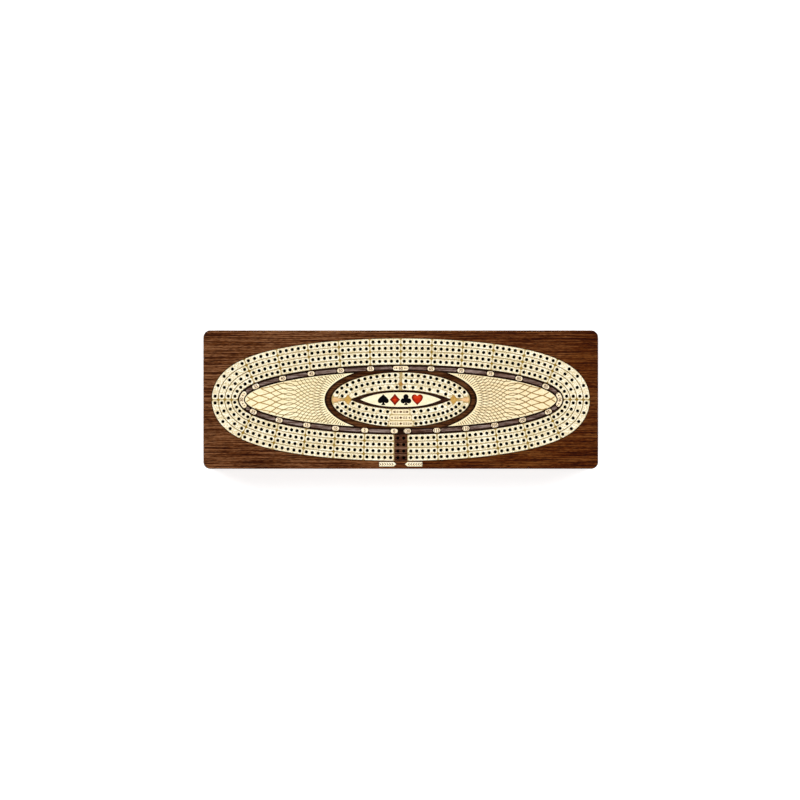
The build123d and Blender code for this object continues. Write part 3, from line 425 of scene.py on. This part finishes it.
def felt():
    m = Mat("green_felt")
    f = m.noise(m.scaled(2600, 2600, 2600), 1.0, 4.0, 0.7, 1.2)
    c = m.noise(m.scaled(120, 120, 120), 1.0, 3.0, 0.6)
    fib = m.voronoi(m.scaled(1500, 1500, 1500), 1.0, "F1")
    t = m.math("ADD", m.math("MULTIPLY", f, 0.6), m.math("MULTIPLY", c, 0.4))
    m.color(m.ramp(t, [(0.32, srgb(22, 58, 38)), (0.5, srgb(36, 84, 56)), (0.68, srgb(54, 108, 74))]))
    m.rough(m.framp(t, [(0.3, 0.98), (0.7, 0.88)]))
    m.set(Sheen_Weight=0.5, Sheen_Roughness=0.5, Specular_IOR_Level=0.15)
    m.bump(m.math("ADD", f, m.math("MULTIPLY", fib, 0.5)), 0.6, 0.00025)
    return m.m


def card_edge():
    m = Mat("card_edges")
    layers = m.noise(m.scaled(30, 30, 5200), 1.0, 2.0, 0.5)
    m.color(m.ramp(layers, [(0.3, srgb(206, 200, 186)), (0.6, srgb(238, 235, 226))]))
    m.rough(m.framp(layers, [(0.3, 0.7), (0.7, 0.55)]))
    m.bump(layers, 0.3, 0.00005)
    return m.m


def card_back(name, cx, tone, tone2):
    """Plain lattice back: white border, a fine frame line and crossing diagonals with small dots."""
    m = Mat(name)
    x, y, z = m.xyz()
    u = m.math("ABSOLUTE", m.math("SUBTRACT", x, cx * MM))
    v = m.math("ABSOLUTE", y)

    def inside(a, b):
        return m.math("MULTIPLY", m.math("LESS_THAN", u, a * MM), m.math("LESS_THAN", v, b * MM))

    d1 = m.math("PINGPONG", m.math("ADD", u, v), 1.8 * MM)
    d2 = m.math("PINGPONG", m.math("SUBTRACT", u, v), 1.8 * MM)
    l1 = m.math("LESS_THAN", d1, 0.28 * MM)
    l2 = m.math("LESS_THAN", d2, 0.28 * MM)
    lattice = m.math("MAXIMUM", l1, l2)
    dot = m.math("MULTIPLY", m.math("GREATER_THAN", d1, 1.35 * MM), m.math("GREATER_THAN", d2, 1.35 * MM))
    light = m.math("MAXIMUM", lattice, dot)
    linen = m.noise(m.scaled(3000, 3000, 3000), 1.0, 2.0, 0.5)
    white = m.ramp(linen, [(0.3, srgb(232, 229, 220)), (0.7, srgb(246, 244, 238))])
    deep = m.ramp(linen, [(0.3, tone), (0.7, tone2)])
    field = m.mix(light, deep, white)
    frame_line = m.math("SUBTRACT", inside(27.4, 40.0), inside(26.5, 39.1))
    col = m.mix(inside(26.0, 38.6), white, field)
    col = m.mix(frame_line, col, deep)
    m.color(col)
    m.rough(m.framp(linen, [(0.3, 0.42), (0.7, 0.34)]))
    m.set(Coat_Weight=0.2, Coat_Roughness=0.2)
    m.bump(linen, 0.15, 0.00003)
    return m.m


def give(name, mat):
    o = nodes[name]
    if not o.material_slots:
        o.data.materials.append(mat)
    for s in o.material_slots:
        s.link = "OBJECT"
        s.material = mat


for n, mt in {
    "playing_board": wenge_board, "side_wall_front": wenge_walls, "side_wall_back": wenge_walls,
    "end_wall_left": wenge_ends, "end_wall_right": wenge_ends, "lid_pull_strip": wenge_ends,
    "track_inlay": track_mat, "score_oval": oval_mat, "guilloche_panel_left": panel_mat, "guilloche_panel_right": panel_right,
    "eye_inlay": eye_mat, "number_markers": marker_mat, "corner_markers": marker_mat, "start_plate": plate_mat,
    "finish_plate": plate_mat, "score_plaques": plaque_mat, "gold_inlays": gold_mat, "oval_tip_inlays": tan_mat,
    "band_strips": grey_purple, "start_block": start_mat, "eye_frame": dark_frame, "centre_panel": panel_wood,
    "spade_inlay": black_mat, "club_inlay": black_mat, "diamond_inlay": red_mat, "heart_inlay": red_mat,
    "lid_runner_front": runner_mat, "lid_runner_back": runner_mat, "runner_screws": brass,
    "lid_magnets": nickel, "wall_magnets": nickel, "floor_panel": floor_mat, "corner_pads": rubber(),
    "divider_left": insert_mat, "divider_middle": insert_mat, "divider_right": insert_mat,
    "peg_rack_left": insert_mat, "peg_rack_right": insert_mat,
}.items():
    give(n, mt)
for tone, mt in peg_mats.items():
    for k in (1, 2, 3):
        give(f"peg_{tone}_{k}", mt)


# ------------------------------------------------------------------ mesh helpers
def add_mesh(name, verts, faces, mat, body, smooth=False):
    """A mesh given in millimetres."""
    me = bpy.data.meshes.new(name)
    me.from_pydata([(x * MM, y * MM, z * MM) for x, y, z in verts], [], faces)
    me.update()
    me.validate()
    me.materials.append(mat)
    if smooth:
        for p in me.polygons:
            p.use_smooth = True
    o = bpy.data.objects.new(name, me)
    bpy.context.scene.collection.objects.link(o)
    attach(o, body)
    return o


class Build:
    """Collects closed prisms and ribbons for one mesh."""

    def __init__(self):
        self.v, self.f = [], []

    def prism(self, pts, z0, z1):
        """Closed prism over a simple outline, either way round."""
        area = sum(a[0] * b[1] - b[0] * a[1] for a, b in zip(pts, pts[1:] + pts[:1]))
        if area < 0:
            pts = pts[::-1]
        n, k = len(pts), len(self.v)
        self.v += [(x, y, z0) for x, y in pts] + [(x, y, z1) for x, y in pts]
        tris = tessellate_polygon([[Vector((x, y, 0)) for x, y in pts]])
        for t in tris:
            a, b, c = (pts[i] for i in t)
            if (b[0] - a[0]) * (c[1] - a[1]) - (b[1] - a[1]) * (c[0] - a[0]) < 0:
                t = t[::-1]
            self.f.append(tuple(k + n + i for i in t))
            self.f.append(tuple(k + i for i in reversed(t)))
        for i in range(n):
            j = (i + 1) % n
            self.f.append((k + i, k + j, k + n + j, k + n + i))

    def ribbon(self, pts, w, z0, z1, taper=0.6):
        """Closed flat ribbon along pts, narrowing over the last stretch at each end."""
        n, k = len(pts), len(self.v)
        run = [0.0]
        for a, b in zip(pts, pts[1:]):
            run.append(run[-1] + math.hypot(b[0] - a[0], b[1] - a[1]))
        for i, p in enumerate(pts):
            a, b = pts[max(i - 1, 0)], pts[min(i + 1, n - 1)]
            tx, ty = b[0] - a[0], b[1] - a[1]
            L = math.hypot(tx, ty) or 1.0
            nx, ny = -ty / L, tx / L
            end = min(run[i], run[-1] - run[i])
            h = (w[i] if isinstance(w, list) else w) / 2 * (0.35 + 0.65 * min(1.0, end / taper))
            for s, z in ((1, z0), (-1, z0), (-1, z1), (1, z1)):
                self.v.append((p[0] + s * nx * h, p[1] + s * ny * h, z))
        for i in range(n - 1):
            a, b = k + 4 * i, k + 4 * i + 4
            for q in range(4):
                r = (q + 1) % 4
                self.f.append((a + q, b + q, b + r, a + r))
        self.f.append((k, k + 1, k + 2, k + 3))
        e = k + 4 * (n - 1)
        self.f.append((e + 3, e + 2, e + 1, e))

    def done(self, name, mat, body, slot):
        o = add_mesh(name, self.v, self.f, mat, body)
        bm = bmesh.new()
        bm.from_mesh(o.data)
        bmesh.ops.recalc_face_normals(bm, faces=bm.faces)
        bm.to_mesh(o.data)
        bm.free()
        return o


# ------------------------------------------------------------------ track layout
def ell(t, a, b, d=0.0):
    c, s = math.cos(t), math.sin(t)
    n = math.hypot(b * c, a * s)
    return (a * c + d * b * c / n, b * s + d * a * s / n)


def base(t, d):
    return ell(t, base_a, base_b, d)


def block_t(sy, k):
    return block_at[sy][k]


# ------------------------------------------------------------------ engraved side panels
edge_pts = [base(math.pi / 2 * i / 900, band_in - 0.4) for i in range(901)][::-1]     # x rising
edge_x = [p[0] for p in edge_pts]


def in_panel(x, y, edge):
    """Inside the side panel: outside the oval's ring and inside the band. The outline is symmetric, so one quarter is enough."""
    if (x / (ring_a + edge)) ** 2 + (y / (ring_b + edge)) ** 2 < 1:
        return False
    ax = abs(x)
    if ax >= edge_x[-1]:
        return False
    i = max(1, bisect.bisect_left(edge_x, ax))
    (x0, y0), (x1, y1) = edge_pts[i - 1], edge_pts[i]
    return abs(y) < y0 + (y1 - y0) * (ax - x0) / max(x1 - x0, 1e-9)


def runs(points, edge):
    """Stretches of a line that lie on the panel, ended exactly at its border."""
    res, cur, last, was = [], [], None, False
    for p in points:
        now = in_panel(p[0], p[1], edge)
        if last is not None and now != was:
            a, b = last, p
            for _ in range(10):
                m = ((a[0] + b[0]) / 2, (a[1] + b[1]) / 2)
                if in_panel(m[0], m[1], edge) == was:
                    a = m
                else:
                    b = m
            if now:
                cur = [((a[0] + b[0]) / 2, (a[1] + b[1]) / 2)]
            else:
                cur.append(((a[0] + b[0]) / 2, (a[1] + b[1]) / 2))
                res.append(cur)
                cur = []
        if now:
            cur.append(p)
        last, was = p, now
    if len(cur) > 2:
        res.append(cur)
    return [r for r in res if len(r) > 2]


def smooth(table, r):
    for (r0, v0), (r1, v1) in zip(table, table[1:]):
        if r <= r1:
            f = min(1.0, max(0.0, (r - r0) / (r1 - r0)))
            return v0 + (v1 - v0) * f * f * (3 - 2 * f)
    return table[-1][1]


def guilloche(name, side, body="lid"):
    """Two mirrored families of waving rays. They cross in a fine mesh near the oval and in long diamonds at the tip.

    sway is how far a ray leans from its own direction, in ray spacings, against the distance along the panel's axis."""
    fx, y0, step = 44.3, 0.5, math.radians(4.33)
    sway = [
        (60, 3.08), (74, 3.0), (76, 2.75), (79, 2.45), (81, 2.26), (84, 2.0), (86, 1.73), (87.3, 1.5), (90, 1.0), (93, 0.5), (96, 0.0), (98, -0.33),
        (100, -0.52), (102, -0.66), (104.5, -0.74), (107, -0.65), (110, -0.5), (113, -0.29), (116.5, 0.0), (119, 0.26), (122, 0.5), (126, 0.75),
        (129, 0.9), (132, 1.0), (136, 0.75), (139.8, 0.5), (145, 0.15),
    ]
    width = [(20, 0.5), (40, 0.56), (55, 0.64), (75, 0.86), (100, 1.0)]

    def lean(d):
        if d <= sway[0][0]:
            return sway[0][1]
        for k in range(len(sway) - 1):
            (d0, v0), (d1, v1) = sway[k], sway[k + 1]
            if d <= d1:
                # cubic through the knots, with level ends at the turning points
                def slope(j):
                    if j <= 0 or j >= len(sway) - 1:
                        return 0.0
                    left = (sway[j][1] - sway[j - 1][1]) / (sway[j][0] - sway[j - 1][0])
                    right = (sway[j + 1][1] - sway[j][1]) / (sway[j + 1][0] - sway[j][0])
                    return 0.0 if left * right <= 0 else 2 * left * right / (left + right)
                h = d1 - d0
                f = (d - d0) / h
                return (
                    v0 * (1 + 2 * f) * (1 - f) ** 2 + v1 * f * f * (3 - 2 * f)
                    + slope(k) * h * f * (1 - f) ** 2 - slope(k + 1) * h * f * f * (1 - f)
                )
        return sway[-1][1]

    b = Build()
    for fam in (1, -1):
        for i in range(-27, 27):
            pts = []
            for j in range(340):
                r = 18.0 + 88.0 * j / 339
                phi = step * (i + 0.5 + fam * lean(fx + r))
                pts.append((side * (fx + r * math.cos(phi)), y0 + r * math.sin(phi)))
            for run in runs(pts, 1.3 if (i + (fam > 0)) % 2 else 1.7):
                L = sum(math.hypot(q[0] - p[0], q[1] - p[1]) for p, q in zip(run, run[1:]))
                if L > 1.2:
                    ws = [smooth(width, math.hypot(p[0] * side - fx, p[1] - y0)) for p in run]
                    b.ribbon(run, ws, 49.93, 49.975 if fam > 0 else 49.985)
    return b.done(name, line_left if side < 0 else line_right, body, "golden_wood")


guilloche("engraving_left", -1)
guilloche("engraving_right", 1)

# ------------------------------------------------------------------ lines between the blocks
def lane_t(t0, shift, d):
    """Move along lane offset d by shift mm from parameter t0."""
    t = t0
    for _ in range(20):
        sp = math.hypot(base_a * math.sin(t), base_b * math.cos(t))
        t += shift / 20 / (sp + d * base_a * base_b / sp**2)
    return t


def block_lines():
    """A burnt fill in the groove between two blocks, and a darker one where it crosses the lane lines."""
    b, dark = Build(), Build()
    where = [(sx, sy, k) for sx in (-1, 1) for sy in (-1, 1) for k in range(1, 6)]
    where += [(-1, 1, 0), (1, 1, 0), (1, 1, 6)]
    for sx, sy, k in where:
        for lane in range(lane_count):
            lo = lane_1 + lane_pitch * (lane - 0.5) + line_w / 2
            hi = lane_1 + lane_pitch * (lane + 0.5) - line_w / 2
            lo, hi = (4.4 if lane == 0 else lo), (28.43 if lane == 3 else hi)
            mid = (lo + hi) / 2
            c = cell_r * 0.72
            tb = block_at[sy][k]
            ta, tc = lane_t(tb, -cross_w / 2 - 0.04, mid), lane_t(tb, cross_w / 2 + 0.04, mid)
            quad = [base(ta, lo + c), base(tc, lo + c), base(tc, hi - c), base(ta, hi - c)]
            b.prism([(sx * x, sy * y) for x, y in quad], 49.68, 49.8)
            if lane < lane_count - 1:
                d = lane_1 + lane_pitch * (lane + 0.5)
                ta, tc = lane_t(tb, -cross_w / 2 - 0.75, d), lane_t(tb, cross_w / 2 + 0.75, d)
                reach = line_w / 2 + c
                quad = [base(ta, d - reach), base(tc, d - reach), base(tc, d + reach), base(ta, d + reach)]
                dark.prism([(sx * x, sy * y) for x, y in quad], 49.68, 49.81)
    b.done("block_lines", olive_mat, "lid", "golden_wood")
    dark.done("line_crossings", crossing_mat, "lid", "golden_wood")


block_lines()

# ------------------------------------------------------------------ numbers and small figures
FIG0, FIG1 = 49.93, 49.985


def text_outline(body, size):
    cu = bpy.data.curves.new("digits", "FONT")
    cu.body = body
    cu.size = size * MM
    cu.align_x, cu.align_y = "CENTER", "CENTER"
    cu.extrude = (FIG1 - FIG0) / 2 * MM
    cu.offset = 0.1 * MM
    cu.resolution_u = 4
    o = bpy.data.objects.new("digits", cu)
    bpy.context.scene.collection.objects.link(o)
    bpy.context.view_layer.update()
    me = bpy.data.meshes.new_from_object(o.evaluated_get(bpy.context.evaluated_depsgraph_get()))
    co = [tuple(c / MM for c in v.co) for v in me.vertices]
    faces = [tuple(p.vertices) for p in me.polygons]
    bpy.data.objects.remove(o)
    bpy.data.curves.remove(cu)
    bpy.data.meshes.remove(me)
    lo_x, hi_x = min(c[0] for c in co), max(c[0] for c in co)
    lo_y, hi_y = min(c[1] for c in co), max(c[1] for c in co)
    mx, my = (lo_x + hi_x) / 2, (lo_y + hi_y) / 2
    return [(x - mx, y - my, z) for x, y, z in co], faces


numbers = Build()
fig = Build()


def put_number(value, x, y, ang, size=3.9):
    co, faces = text_outline(str(value), size)
    c, s = math.cos(ang), math.sin(ang)
    k = len(numbers.v)
    zm = (FIG0 + FIG1) / 2
    numbers.v += [(x + c * px - s * py, y + s * px + c * py, zm + pz) for px, py, pz in co]
    numbers.f += [tuple(k + i for i in f) for f in faces]


def put_marker(sx, sy, t, value, upright=None):
    x, y = base(t, band_mid)
    x, y = sx * x, sy * y
    if upright is not None:
        # a long marker: two small lozenges on each side of the number, along the band
        for side in (-1, 1):
            for away, w in ((3.9, 1.7), (5.7, 1.2)):
                if upright:
                    px_, py_ = base(away / 6.4 * 0.1, band_mid)
                    k_ = away / py_
                    px_, py_ = base(away / 6.4 * 0.1 * k_, band_mid)
                    cx_, cy_ = sx * px_, side * py_
                else:
                    cx_, cy_ = x + side * away, y
                fig.prism([(cx_ - w / 2, cy_), (cx_, cy_ - w / 2), (cx_ + w / 2, cy_), (cx_, cy_ + w / 2)], FIG0, FIG1)
    x2, y2 = base(t + 1e-3, band_mid)
    ang = math.atan2(sy * y2 - y, sx * x2 - x) if upright is None else upright
    if math.cos(ang) < -1e-6:
        ang += math.pi
    put_number(value, x, y, ang)


for k in range(1, 6):
    put_marker(-1, -1, block_t(-1, k), 30 - 5 * k)
    put_marker(-1, 1, block_t(1, k), 30 + 5 * k)
    put_marker(1, 1, block_t(1, k), 90 - 5 * k)
    put_marker(1, -1, block_t(-1, k), 90 + 5 * k)
put_marker(-1, -1, block_t(-1, 6), 0)
put_marker(1, -1, block_t(-1, 6), 120)
put_marker(-1, 1, 0.0, 30, math.pi / 2)
put_marker(1, 1, 0.0, 90, math.pi / 2)
put_marker(1, 1, math.pi / 2, 60, 0.0)


def lozenge(x, y, w, h):
    fig.prism([(x - w / 2, y), (x, y - h / 2), (x + w / 2, y), (x, y + h / 2)], FIG0, FIG1)


def bar(x0, x1, y, h):
    fig.prism([(x0, y - h / 2), (x1, y - h / 2), (x1, y + h / 2), (x0, y + h / 2)], FIG0, FIG1)


def chevron(x, y, d, h=2.3, t=0.9):
    """An arrow head pointing along d (+1 or -1)."""
    fig.prism([(x, y), (x - d * h * 0.62, y + h / 2), (x - d * (h * 0.62 + t), y + h / 2), (x - d * t, y), (x - d * (h * 0.62 + t), y - h / 2), (x - d * h * 0.62, y - h / 2)], FIG0, FIG1)


for y, w in ((-11.4, 16.4), (-16.85, 20.0), (-22.4, 22.6)):
    lozenge(0, y, 3.1, 2.5)
    for s in (-1, 1):
        for k in range(3):
            a = 2.2 + k * 2.2
            if a + 1.6 < w / 2 - 1.8:
                bar(s * a, s * (a + 1.6), y - 0.56, 0.62)
                bar(s * a, s * (a + 1.6), y + 0.56, 0.62)
        lozenge(s * (w / 2 - 1.9), y, 1.7, 2.2)
for x in (-6.6, -8.9, -11.2, -13.5, -15.8, -18.1):
    chevron(x, -60.2, 1)
for x in (6.4, 8.7, 11.0, 13.3, 15.6, 17.9):
    chevron(x, -60.2, -1)
fig.done("line_ornaments", ink_mat, "lid", "golden_wood")
numbers.done("marker_numbers", ink_mat, "lid", "golden_wood")


# ------------------------------------------------------------------ decks and felt
def rounded(cx, cy, w, h, r, n=6):
    pts = []
    for sx, sy, a0 in ((1, 1, 0), (-1, 1, 90), (-1, -1, 180), (1, -1, 270)):
        for i in range(n + 1):
            a = math.radians(a0 + 90 * i / n)
            pts.append((cx + sx * (w / 2 - r) + r * math.cos(a), cy + sy * (h / 2 - r) + r * math.sin(a)))
    return pts


edge_mat = card_edge()
for side, cx, tones in (("left", -37.0, (srgb(30, 58, 118), srgb(36, 70, 136))), ("right", 37.0, (srgb(140, 26, 28), srgb(158, 36, 34)))):
    d = Build()
    z, th = 8.05, 16.0 / 54
    for k in range(54):
        jx, jy = rng.uniform(-0.12, 0.12), rng.uniform(-0.18, 0.18)
        if k == 53:
            jx = jy = 0.0
        d.prism(rounded(cx + jx, jy, 63.1, 88.4, 3.4), z + 0.015, z + th - 0.015)
        z += th
    o = d.done(f"loose_cards_{side}", edge_mat, f"deck_{side}", "cards")
    o.data.materials.append(card_back(f"card_back_{side}", cx, *tones))
    top = 24.05 * MM - 0.0002
    for p in o.data.polygons:
        if p.normal.z > 0.9 and all(o.data.vertices[i].co.z > top for i in p.vertices):
            p.material_index = 1
    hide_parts(f"card_deck_{side}")

felt_mat = felt()
for side, cx in (("left", -37.0), ("right", 37.0)):
    nx, ny, w, h = 34, 56, 67.6, 110.6
    vs, fs = [], []
    for lay in (0, 1):
        for j in range(ny + 1):
            for i in range(nx + 1):
                e = min(i, nx - i, j, ny - j)
                x = cx - w / 2 + w * i / nx
                y = -h / 2 + h * j / ny
                z = 7.0 if lay == 0 else 7.0 + (0.62 if e == 0 else 0.93 + rng.uniform(-0.03, 0.05))
                vs.append((x, y, z))
    off = (nx + 1) * (ny + 1)

    def at(i, j, lay):
        return lay * off + j * (nx + 1) + i

    for j in range(ny):
        for i in range(nx):
            fs.append((at(i, j, 1), at(i + 1, j, 1), at(i + 1, j + 1, 1), at(i, j + 1, 1)))
            fs.append((at(i, j, 0), at(i, j + 1, 0), at(i + 1, j + 1, 0), at(i + 1, j, 0)))
    for i in range(nx):
        fs.append((at(i, 0, 0), at(i + 1, 0, 0), at(i + 1, 0, 1), at(i, 0, 1)))
        fs.append((at(i + 1, ny, 0), at(i, ny, 0), at(i, ny, 1), at(i + 1, ny, 1)))
    for j in range(ny):
        fs.append((at(0, j + 1, 0), at(0, j, 0), at(0, j, 1), at(0, j + 1, 1)))
        fs.append((at(nx, j, 0), at(nx, j + 1, 0), at(nx, j + 1, 1), at(nx, j, 1)))
    o = add_mesh(f"felt_sheet_{side}", vs, fs, felt_mat, "box", smooth=True)
    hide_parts(f"felt_liner_{side}")


# ------------------------------------------------------------------ floor, light, camera
def stage_floor():
    me = bpy.data.meshes.new("floor")
    s = 3.0
    me.from_pydata([(-s, -s, 0), (s, -s, 0), (s, s, 0), (-s, s, 0)], [], [(0, 1, 2, 3)])
    o = bpy.data.objects.new("floor", me)
    bpy.context.scene.collection.objects.link(o)
    m = Mat("pale_floor")
    n = m.noise(m.scaled(6, 6, 6), 1.0, 2.0, 0.5)
    m.color(m.ramp(n, [(0.3, (0.9, 0.9, 0.9, 1)), (0.7, (0.93, 0.93, 0.93, 1))]))
    m.rough(0.9)
    m.set(Specular_IOR_Level=0.1, Emission_Color=(1, 1, 1, 1), Emission_Strength=0.42)
    me.materials.append(m.m)


stage_floor()
world = bpy.data.worlds.new("soft_white")
world.use_nodes = True
world.node_tree.nodes["Background"].inputs["Color"].default_value = (1, 1, 1, 1)
world.node_tree.nodes["Background"].inputs["Strength"].default_value = 0.22
bpy.context.scene.world = world


def area(name, loc, size, power, target=(0, 0, 0.03)):
    li = bpy.data.lights.new(name, "AREA")
    li.shape = "SQUARE"
    li.size = size
    li.energy = power
    o = bpy.data.objects.new(name, li)
    o.location = loc
    d = Vector(target) - Vector(loc)
    o.rotation_euler = d.to_track_quat("-Z", "Y").to_euler()
    bpy.context.scene.collection.objects.link(o)


area("key", (-1.6, 1.2, 1.6), 1.5, 37)
area("fill", (1.7, 1.0, 1.5), 1.5, 30)
area("front", (0.2, -2.0, 1.5), 1.7, 44)
bpy.context.scene.view_settings.view_transform = "Standard"

cam_d = bpy.data.cameras.new("camera")
cam = bpy.data.objects.new("camera", cam_d)
bpy.context.scene.collection.objects.link(cam)
DIST = 4.0
PX = 0.368 / 394.8        # metres to a pixel of the 800-pixel frame, on the board's face
cam_d.sensor_width = 36.0
cam_d.lens = 36.0 * DIST / (800 * PX)
cam_d.clip_start, cam_d.clip_end = 0.05, 20.0
cam.location = (-0.78 * PX, -0.36 * PX, 0.05 + DIST)
cam.rotation_euler = (0, 0, 0)
bpy.context.scene.camera = cam
